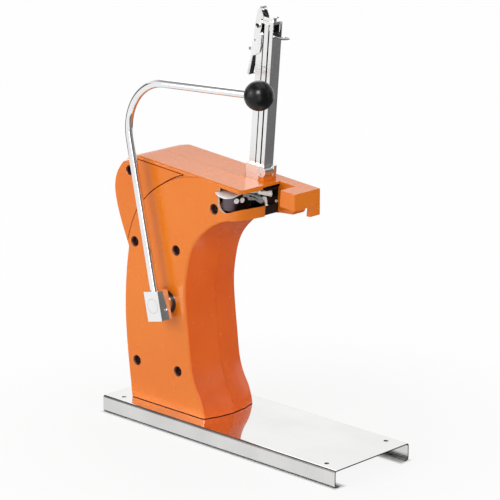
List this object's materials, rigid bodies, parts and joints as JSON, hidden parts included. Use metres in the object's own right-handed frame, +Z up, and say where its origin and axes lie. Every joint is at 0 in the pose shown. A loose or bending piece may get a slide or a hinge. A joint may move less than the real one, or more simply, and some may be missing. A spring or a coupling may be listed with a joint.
{
  "type": "bag clipping machine",
  "caption": "Hand operated bag clipping machine: curved orange casing on a steel base plate, bent handle with ball knob, upright clip magazine and a hooked jaw for bag necks.",
  "frame": {"origin": "middle of the base plate, on the counter plane under it", "axes": "+X forward to the jaw, +Y away from the handle side, +Z up"},
  "size_m": [0.4, 0.1475, 0.543],
  "materials": {
    "casing": "glossy orange",
    "plate_steel": "mirror polished sheet",
    "chrome_steel": "chrome plated",
    "bright_steel": "ground bright",
    "zinc_steel": "zinc plated",
    "spring_steel": "drawn wire",
    "black_steel": "blackened",
    "black_plastic": "satin black",
    "ball_plastic": "glossy black",
    "stop_rubber": "matt"
  },
  "bodies": {
    "frame": {"base_plate": "plate_steel", "near_shell": "casing", "far_shell": "casing", "rear_cover": "casing", "casing_screws": "black_steel", "near_frame": "zinc_steel", "c_frame": "black_steel", "frame_spacers": "zinc_steel", "frame_screws": "zinc_steel", "frame_feet": "zinc_steel", "base_screws": "zinc_steel", "near_bush": "black_plastic", "far_bush": "black_plastic", "stop_post": "zinc_steel", "stop_sleeve": "stop_rubber", "punch_guide": "black_steel", "guide_screws": "zinc_steel", "guide_front": "bright_steel", "throat_block": "black_steel", "die_block": "black_steel", "die": "bright_steel", "die_screws": "zinc_steel", "neck_plate": "bright_steel", "neck_wall": "black_steel", "wall_screws": "bright_steel", "neck_rail": "bright_steel", "neck_finger": "bright_steel", "front_screws": "bright_steel", "plate_screws": "zinc_steel", "magazine_channel": "chrome_steel", "magazine_strip": "bright_steel", "magazine_cap": "chrome_steel", "magazine_collar": "chrome_steel", "collar_screws": "zinc_steel", "latch_pin": "zinc_steel", "feed_spring": "spring_steel", "spring_anchor": "zinc_steel", "return_spring": "spring_steel", "base_gasket": "stop_rubber"},
    "handle": {"main_shaft": "bright_steel", "hub_block": "chrome_steel", "hub_set_screw": "zinc_steel", "hub_sleeve": "bright_steel", "shaft_collar": "zinc_steel", "handle_bar": "chrome_steel", "ball_knob": "ball_plastic", "crank_arm": "zinc_steel", "crank_key": "zinc_steel", "crank_pin": "bright_steel", "crank_roller": "bright_steel", "roller_clip": "spring_steel"},
    "punch": {"punch_carriage": "zinc_steel", "punch_blade": "bright_steel", "blade_screws": "zinc_steel"},
    "follower": {"clip_follower": "black_plastic", "follower_grip": "chrome_steel"},
    "latch": {"latch_lever": "chrome_steel", "lever_pad": "stop_rubber"}
  },
  "joints": [
    {"name": "handle_swing", "type": "hinge", "parent": "frame", "child": "handle", "pos_m": [-0.1027, 0, 0.1626], "axis": [0, 1, 0], "range_deg": [0, 31.98], "stiffness_Nm_per_rad": 1.5, "springref_deg": -28.65},
    {"name": "punch_stroke", "type": "slide", "parent": "frame", "child": "punch", "axis": [0.9965, 0, -0.0837], "range_m": [0, 0.052], "deforming": ["return_spring"]},
    {"name": "follower_feed", "type": "slide", "parent": "frame", "child": "follower", "axis": [-0.0837, 0, -0.9965], "range_m": [0, 0.135], "deforming": ["feed_spring"]},
    {"name": "latch_tilt", "type": "hinge", "parent": "frame", "child": "latch", "pos_m": [0.00486, 0.016, 0.51996], "axis": [0, -1, 0], "range_deg": [0, 5], "stiffness_Nm_per_rad": 0.06, "springref_deg": -17.19}
  ],
  "couplings": [
    {"joint": "punch_stroke", "follows": "handle_swing", "m_per_rad": 0.093167}
  ]
}
